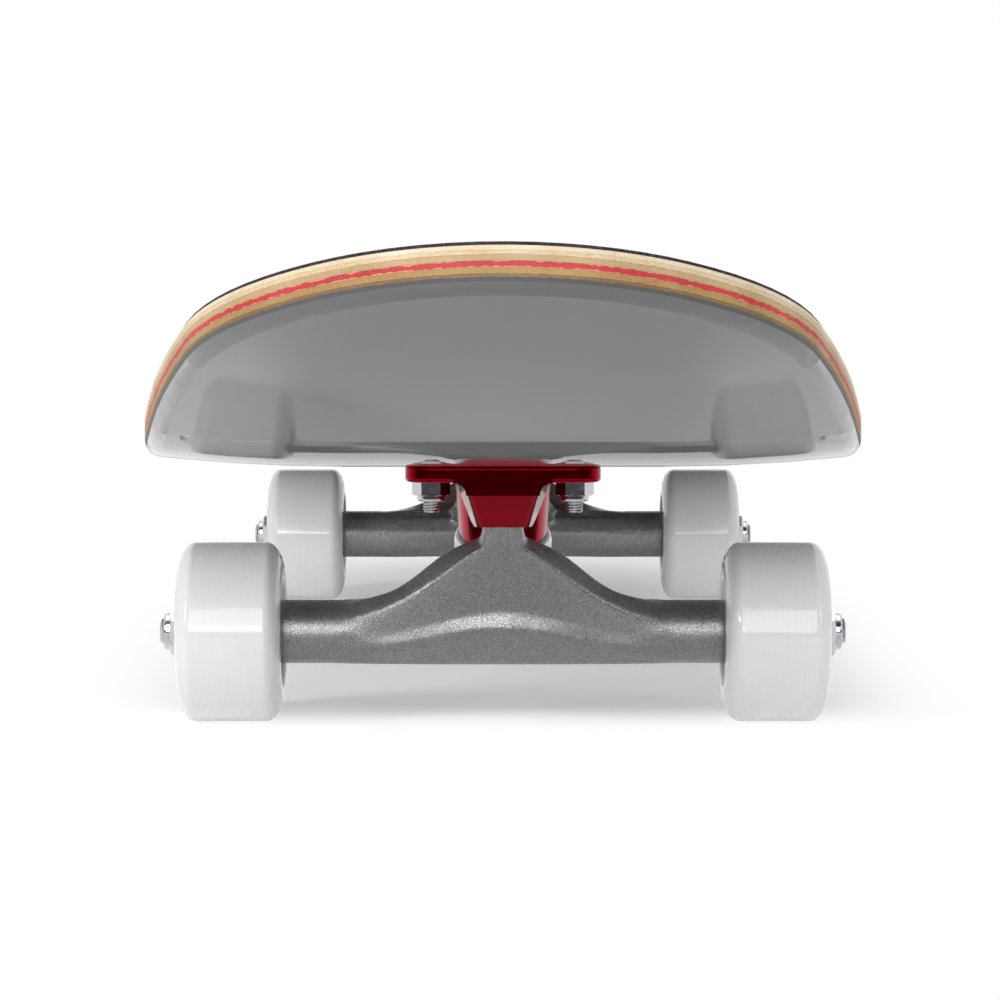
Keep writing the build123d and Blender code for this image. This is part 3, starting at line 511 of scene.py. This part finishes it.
# the wave texture repeats every pi / 10 of its own units
waveScale = math.pi / 10 / wheelSettings["ring"]
rings = addNode(tree, "TexWave", {
    "wave_type": "BANDS", "bands_direction": "X", "Scale": waveScale, "Distortion": 0.0}, {
    "Vector": place})
split = addNode(tree, "SeparateXYZ", links={"Vector": place})
across = addNode(tree, "Math", {
    "operation": "MULTIPLY", 1: wheelSettings["patchesPerRing"] / wheelSettings["ring"]}, {
    0: split.outputs["X"]})
uneven = addNode(tree, "TexNoise", {"noise_dimensions": "1D", "Scale": 1.0, "Detail": 1.0}, {
    "W": across.outputs[0]})
cut = addNode(tree, "Math", {"operation": "MULTIPLY"}, {
    0: rings.outputs["Fac"], 1: uneven.outputs["Fac"]})
gloss = addNode(tree, "MapRange", {
    "From Min": 0.05, "From Max": 0.13,
    "To Min": wheelSettings["gloss"][0], "To Max": wheelSettings["gloss"][1]}, {
    "Value": cut.outputs[0]})
tree.links.new(gloss.outputs["Result"], shader.inputs["Roughness"])
clouds = addNode(tree, "TexNoise", {"Scale": 1 / wheelSettings["cloud"], "Detail": 2}, {
    "Vector": place})
milk = addNode(tree, "Mix", {
    "data_type": "RGBA", 6: toLinear(wheelSettings["shade"]),
    7: toLinear(wheelSettings["white"])}, {
    0: clouds.outputs["Fac"]})
tree.links.new(milk.outputs[2], shader.inputs["Base Color"])
ringBump = addNode(tree, "Bump", {"Strength": 0.1, "Distance": wheelSettings["height"]}, {
    "Height": rings.outputs["Fac"]})
tree.links.new(ringBump.outputs[0], shader.inputs["Normal"])

# Poured urethane bushing: black, satin, with a soft bloom.
bushingRubber = {"dark": "#141415", "light": "#242426", "bloom": 4 * mm, "height": 0.05 * mm}
tree, shader, place = startMaterial("blackUrethane", {
    "Roughness": 0.45, "IOR": 1.5, "Coat Weight": 0.1})
bloom = addNode(tree, "TexNoise", {"Scale": 1 / bushingRubber["bloom"], "Detail": 4}, {
    "Vector": place})
black = addNode(tree, "Mix", {
    "data_type": "RGBA", 6: toLinear(bushingRubber["dark"]),
    7: toLinear(bushingRubber["light"])}, {
    0: bloom.outputs["Fac"]})
tree.links.new(black.outputs[2], shader.inputs["Base Color"])
bloomBump = addNode(tree, "Bump", {"Strength": 0.15, "Distance": bushingRubber["height"]}, {
    "Height": bloom.outputs["Fac"]})
tree.links.new(bloomBump.outputs[0], shader.inputs["Normal"])

# Natural nylon, moulded: warm white and slightly see-through.
nylonSettings = {"dark": "#d6d3ca", "light": "#e6e4dc", "cloud": 2 * mm}
tree, shader, place = startMaterial("naturalNylon", {
    "Roughness": 0.4, "IOR": 1.53, "Subsurface Weight": 0.2, "Subsurface Scale": 0.001})
mould = addNode(tree, "TexNoise", {"Scale": 1 / nylonSettings["cloud"], "Detail": 3}, {
    "Vector": place})
nylon = addNode(tree, "Mix", {
    "data_type": "RGBA", 6: toLinear(nylonSettings["dark"]),
    7: toLinear(nylonSettings["light"])}, {
    0: mould.outputs["Fac"]})
tree.links.new(nylon.outputs[2], shader.inputs["Base Color"])

finishes = {
    "grip_tape": "siliconCarbideGrip", "ply_7_bottom": "lacqueredGreyPaint",
    "deck_bolts": "chromePlate", "deck_bolt_nuts": "chromePlate",
    "board_side_washers": "chromePlate", "road_side_washers": "chromePlate",
    "deck_bolt_nut_inserts": "naturalNylon", "kingpin_nut_inserts": "naturalNylon",
}
for end in ends:
    finishes.update({
        f"{end}_baseplate": "redAnodisedAluminium", f"{end}_pivot_cup": "naturalNylon",
        f"{end}_kingpin": "zincPlatedSteel", f"{end}_kingpin_nut": "chromePlate",
        f"{end}_board_side_bushing": "blackUrethane", f"{end}_road_side_bushing": "blackUrethane",
        f"{end}_hanger": "blastedCastAluminium", f"{end}_axle": "zincPlatedSteel",
        f"{end}_axle_nuts": "chromePlate", f"{end}_axle_nut_inserts": "naturalNylon",
        f"{end}_speed_washers": "zincPlatedSteel", f"{end}_bearing_spacers": "zincPlatedSteel",
        f"{end}_bearing_inner_rings": "groundBearingSteel",
    })
    for side in sides:
        finishes.update({
            f"{end}_{side}_wheel": "whiteUrethane",
            f"{end}_{side}_bearing_outer_rings": "groundBearingSteel",
            f"{end}_{side}_bearing_shields": "pressedSteelShield",
            f"{end}_{side}_bearing_balls": "groundBearingSteel",
            f"{end}_{side}_bearing_cages": "naturalNylon",
        })
for node, finish in finishes.items():
    nodes[node].data.materials.clear()
    nodes[node].data.materials.append(materials[finish])
print("materials on", len(finishes) + len(plies), "nodes")

mergeWithin = 0.0005 * mm


def finishPiece(bm, name, finish, body=None, replaced=(), sharp=32):
    # merged, facing outwards, edges of more than sharp degrees kept, riding on its body if it
    # has one
    bmesh.ops.remove_doubles(bm, verts=bm.verts, dist=mergeWithin)
    bmesh.ops.recalc_face_normals(bm, faces=bm.faces)
    mesh = bpy.data.meshes.new(name)
    bm.to_mesh(mesh)
    bm.free()
    mesh.shade_smooth()
    mesh.set_sharp_from_angle(angle=math.radians(sharp))
    mesh.materials.append(materials[finish])
    piece = bpy.data.objects.new(name, mesh)
    bpy.context.scene.collection.objects.link(piece)
    if replaced:
        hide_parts(*replaced)
    if body:
        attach(piece, body)
    return piece


def spinProfile(bm, profile, steps, closed=False):
    # corners as (distance from the axis, height) in millimetres, spun round Z
    corners = [bm.verts.new((out * mm, 0, up * mm)) for out, up in profile]
    edges = [bm.edges.new(pair) for pair in zip(corners, corners[1:] + corners[:1])]
    if not closed:
        bmesh.ops.delete(bm, geom=[edges.pop()], context="EDGES")
    bmesh.ops.spin(
        bm, geom=corners + edges, cent=(0, 0, 0), axis=(0, 0, 1),
        angle=2 * math.pi, steps=steps, use_merge=True)


def stand(bm, origin, direction):
    # from the Z axis to its own place and direction
    turn = Vector(direction).to_track_quat("Z", "Y").to_matrix().to_4x4()
    bmesh.ops.transform(bm, matrix=Matrix.Translation(origin) @ turn, verts=bm.verts)


def addTo(bm, part):
    # joins a finished part to the piece being made
    mesh = bpy.data.meshes.new("part")
    part.to_mesh(mesh)
    part.free()
    bm.from_mesh(mesh)
    bpy.data.meshes.remove(mesh)


threadSettings = {
    "steps": 32,
    "crestShare": 0.12,     # shares of the pitch
    "depthShare": 0.6,
    "startBelow": 1.5,      # pitches of the helix under the level cut
    "spareTurns": 3,
    "chamfer": 0.45,
    "tipShare": 0.97,       # of the radius between two crests
    "mergeWithin": 0.002 * mm,
}


def addThread(bm, origin, direction, radius, pitch, length):
    # one turn's profile swept up a helix, cut level at both ends, with a chamfered tip
    rod = bmesh.new()
    depth = threadSettings["depthShare"] * pitch
    crest = threadSettings["crestShare"] * pitch
    steps = threadSettings["steps"]
    turns = math.ceil(length / pitch) + threadSettings["spareTurns"]
    below = threadSettings["startBelow"] * pitch
    heights = [0, crest / 2, pitch / 2 - crest / 2, pitch / 2 + crest / 2, pitch - crest / 2, pitch]
    outs = [radius - depth, radius - depth, radius, radius, radius - depth, radius - depth]
    corners = [rod.verts.new((out * mm, 0, (up - below) * mm)) for out, up in zip(outs, heights)]
    edges = [rod.edges.new(pair) for pair in zip(corners, corners[1:])]
    bmesh.ops.spin(
        rod, geom=corners + edges, cent=(0, 0, 0), axis=(0, 0, 1), dvec=(0, 0, pitch * mm / steps),
        angle=2 * math.pi * turns, steps=steps * turns, use_merge=False)
    bmesh.ops.remove_doubles(rod, verts=rod.verts, dist=threadSettings["mergeWithin"])
    chamfer = threadSettings["chamfer"]
    for height, inner in ((0, True), (length - chamfer, False)):
        bmesh.ops.bisect_plane(
            rod, geom=rod.verts[:] + rod.edges[:] + rod.faces[:], plane_co=(0, 0, height * mm),
            plane_no=(0, 0, 1), clear_inner=inner, clear_outer=not inner)
    tip = [edge for edge in rod.edges if edge.is_boundary and edge.verts[0].co.z > length * mm / 2]
    grown = bmesh.ops.extrude_edge_only(rod, edges=tip)["geom"]
    grownVerts = [item for item in grown if isinstance(item, bmesh.types.BMVert)]
    bmesh.ops.translate(rod, vec=(0, 0, chamfer * mm), verts=grownVerts)
    tipRadius = (radius - depth) * mm * threadSettings["tipShare"]
    for vert in grownVerts:
        flat = Vector((vert.co.x, vert.co.y, 0))
        vert.co -= flat - flat.normalized() * min(flat.length, tipRadius)
    for high in (False, True):
        rim = [
            edge for edge in rod.edges
            if edge.is_boundary and (edge.verts[0].co.z > length * mm / 2) == high]
        bmesh.ops.contextual_create(rod, geom=rim)
    bmesh.ops.triangulate(rod, faces=[face for face in rod.faces if len(face.verts) > 4])
    stand(rod, origin, direction)
    addTo(bm, rod)


def cutCopy(node, cuts):
    # a merged copy of a CAD node, cut level where each thread begins
    bm = bmesh.new()
    bm.from_mesh(nodes[node].data)
    bmesh.ops.remove_doubles(bm, verts=bm.verts, dist=mergeWithin)
    for origin, direction in cuts:
        made = bmesh.ops.bisect_plane(
            bm, geom=bm.verts[:] + bm.edges[:] + bm.faces[:], plane_co=origin, plane_no=direction,
            clear_outer=True)
        rim = [item for item in made["geom_cut"] if isinstance(item, bmesh.types.BMEdge)]
        bmesh.ops.edgeloop_fill(bm, edges=rim)
    return bm


# threaded tips: the bolts under the plates, the ends of the axles and of the kingpins
boltTip = {"radius": 2.4, "pitch": 0.79, "start": 4.2}
boltRows = {"gap": 54 * mm, "width": 41.3 * mm, "headRadius": 4.7 * mm}
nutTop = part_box("deck_bolt_nuts")[1].z
boltLow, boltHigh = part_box("deck_bolts")
cutHeight = nutTop - boltTip["start"] * mm
bm = cutCopy("deck_bolts", [((0, 0, cutHeight), (0, 0, -1))])
rowGap, rowWidth, headRadius = boltRows["gap"], boltRows["width"], boltRows["headRadius"]
for truckMiddle in (boltLow.y + headRadius + rowGap / 2, boltHigh.y - headRadius - rowGap / 2):
    for across in (-1, 1):
        for along in (-1, 1):
            origin = (across * rowWidth / 2, truckMiddle + along * rowGap / 2, cutHeight)
            addThread(
                bm, origin, (0, 0, -1), boltTip["radius"], boltTip["pitch"],
                (cutHeight - boltLow.z) / mm)
finishPiece(bm, "deckBolts", "chromePlate", "board", ["deck_bolts"])

axleTip = {"radius": 3.97, "pitch": 1.06, "start": 5.0}
kingpinTip = {"radius": 4.75, "pitch": 1.06, "start": 5.0, "lean": 26}


def downKingpin(facing):
    # along a leaning kingpin, away from the board
    lean = math.radians(kingpinTip["lean"])
    return Vector((0, -facing * math.sin(lean), -math.cos(lean)))


for end, facing in ends.items():
    low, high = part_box(f"{end}_axle")
    axleY, axleZ = (low.y + high.y) / 2, (low.z + high.z) / 2
    cuts = []
    for side in (-1, 1):
        cuts.append(((side * (high.x - axleTip["start"] * mm), axleY, axleZ), (side, 0, 0)))
    bm = cutCopy(f"{end}_axle", cuts)
    for origin, direction in cuts:
        addThread(bm, origin, direction, axleTip["radius"], axleTip["pitch"], axleTip["start"])
    finishPiece(bm, f"{end}Axle", "zincPlatedSteel", f"{end}_truck", [f"{end}_axle"])

    # the kingpin's tip is the point of its node that lies farthest down its axis
    downwards = downKingpin(facing)
    ringMiddle = Vector(joints[f"{end}_steer"]["pos_m"])
    pinMesh = nodes[f"{end}_kingpin"].data
    tipAlong = max((vert.co - ringMiddle).dot(downwards) for vert in pinMesh.vertices)
    origin = ringMiddle + downwards * (tipAlong - kingpinTip["start"] * mm)
    bm = cutCopy(f"{end}_kingpin", [(origin, downwards)])
    addThread(bm, origin, downwards, kingpinTip["radius"], kingpinTip["pitch"], kingpinTip["start"])
    finishPiece(bm, f"{end}Kingpin", "zincPlatedSteel", "board", [f"{end}_kingpin"])
print("threads cut")

# the hangers' cast skin: every edge rounded as the sand mould leaves it
castSkin = {"voxel": 0.6 * mm, "rounds": 22, "strength": 0.5}
for end in ends:
    bm = cutCopy(f"{end}_hanger", [])
    hanger = finishPiece(
        bm, f"{end}Hanger", "blastedCastAluminium", f"{end}_truck",
        [f"{end}_hanger"], sharp=180)
    skinned = hanger.modifiers.new("skin", "REMESH")
    skinned.mode = "VOXEL"
    skinned.voxel_size = castSkin["voxel"]
    skinned.use_smooth_shade = True
    rounded = hanger.modifiers.new("rounded", "SMOOTH")
    rounded.factor = castSkin["strength"]
    rounded.iterations = castSkin["rounds"]
print("hangers skinned")

# bushings: poured rings with rounded rims and a mould line
bushingSettings = {
    "rim": 1.3,
    "rimSteps": 5,
    "seat": 3,                    # how far from each end its radius is looked for
    "bulge": 0.35,
    "sharesBefore": (0.3, 0.45),  # of the height, before and after the mould line
    "sharesAfter": (0.6, 0.75),
    "line": 0.25,
    "lineEdge": 0.05,
    "steps": 72,
}
for end, facing in ends.items():
    ringMiddle = Vector(joints[f"{end}_steer"]["pos_m"])
    downwards = downKingpin(facing)
    for place in ("board", "road"):
        node = f"{end}_{place}_side_bushing"
        corners = [vert.co - ringMiddle for vert in nodes[node].data.vertices]
        heights = [corner.dot(downwards) for corner in corners]
        first, last = min(heights) / mm, max(heights) / mm
        outs = [
            (corner - downwards * height).length / mm for corner, height in zip(corners, heights)]
        bore, seat = min(outs), bushingSettings["seat"]
        nearFirst = max(out for out, height in zip(outs, heights) if height / mm < first + seat)
        nearLast = max(out for out, height in zip(outs, heights) if height / mm > last - seat)
        tall = last - first
        rim, bulge = bushingSettings["rim"], bushingSettings["bulge"]
        turns = [
            math.pi / 2 * step / bushingSettings["rimSteps"]
            for step in range(bushingSettings["rimSteps"] + 1)]
        profile = [(bore, 0)]
        for turn in turns:
            out = nearFirst - bulge - rim + rim * math.sin(turn)
            profile.append((out, rim - rim * math.cos(turn)))
        middle = (nearFirst + nearLast) / 2
        line, lineEdge = bushingSettings["line"], bushingSettings["lineEdge"]
        for share in bushingSettings["sharesBefore"]:
            out = nearFirst + (nearLast - nearFirst) * share
            profile.append((out - bulge * (1 - share * 2), tall * share))
        profile += [(middle - line, tall / 2), (middle - lineEdge, tall / 2 + line)]
        for share in bushingSettings["sharesAfter"]:
            out = nearFirst + (nearLast - nearFirst) * share
            profile.append((out - bulge * (share * 2 - 1), tall * share))
        for turn in turns:
            out = nearLast - bulge - rim + rim * math.cos(turn)
            profile.append((out, tall - rim + rim * math.sin(turn)))
        profile.append((bore, tall))
        bm = bmesh.new()
        spinProfile(bm, profile, bushingSettings["steps"], closed=True)
        stand(bm, ringMiddle + downwards * first * mm, downwards)
        piece = finishPiece(
            bm, f"{end}{place.title()}SideBushing", "blackUrethane", None,
            [node])
        seats = [ringMiddle + downwards * first * mm, ringMiddle + downwards * last * mm]
        if place == "road":
            seats.reverse()
        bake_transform(piece)
print("bushings poured")

# pressed bearing shields: a stepped disc, held in the outer race by a split wire ring; the
# profile's millimetres go outwards from the bore or the rim, and up towards the face
shieldSettings = {
    "back": [(0, 0.17), (0.6, 0.17), (0.9, 0.05)],
    "rim": [(-1.0, 0.05), (-0.8, 0), (0, 0), (0, 0.12), (-0.7, 0.12), (-0.9, 0.22)],
    "face": [(1.0, 0.22), (0.7, 0.35), (0, 0.35)],
    "tall": 0.35,
    "wire": 0.2,
    "wireIn": 0.45,
    "wireUp": 0.13,
    "split": 14,
    "steps": 64,
}
for end in ends:
    for side in sides:
        node = f"{end}_{side}_bearing_shields"
        low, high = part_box(node)
        middle = (low + high) / 2
        outer = (high.z - low.z) / 2 / mm
        inner = min(
            math.hypot(vert.co.y - middle.y, vert.co.z - middle.z)
            for vert in nodes[node].data.vertices) / mm
        bm = bmesh.new()
        for face in (-1, 1):
            disc = bmesh.new()
            profile = [(inner + out, up) for out, up in shieldSettings["back"]]
            profile += [(outer + out, up) for out, up in shieldSettings["rim"]]
            profile += [(inner + out, up) for out, up in shieldSettings["face"]]
            spinProfile(disc, profile, shieldSettings["steps"], closed=True)
            wire, wireUp = shieldSettings["wire"], shieldSettings["wireUp"]
            wireOut = outer - shieldSettings["wireIn"]
            square = [
                (wireOut, wireUp), (wireOut + wire, wireUp), (wireOut + wire, wireUp + wire),
                (wireOut, wireUp + wire)]
            corners = [disc.verts.new((out * mm, 0, up * mm)) for out, up in square]
            edges = [disc.edges.new(pair) for pair in zip(corners, corners[1:] + corners[:1])]
            bmesh.ops.spin(
                disc, geom=corners + edges, cent=(0, 0, 0), axis=(0, 0, 1), use_merge=False,
                angle=math.radians(360 - shieldSettings["split"]), steps=shieldSettings["steps"])
            wireEnds = [edge for edge in disc.edges if edge.is_boundary]
            bmesh.ops.holes_fill(disc, edges=wireEnds, sides=4)
            faceX = high.x if face > 0 else low.x
            backX = faceX - face * shieldSettings["tall"] * mm
            stand(disc, (backX, middle.y, middle.z), (face, 0, 0))
            addTo(bm, disc)
        finishPiece(
            bm, f"{end}{side.title()}BearingShields", "pressedSteelShield",
            f"{end}_{side}_wheel_body", [node])
print("shields pressed")
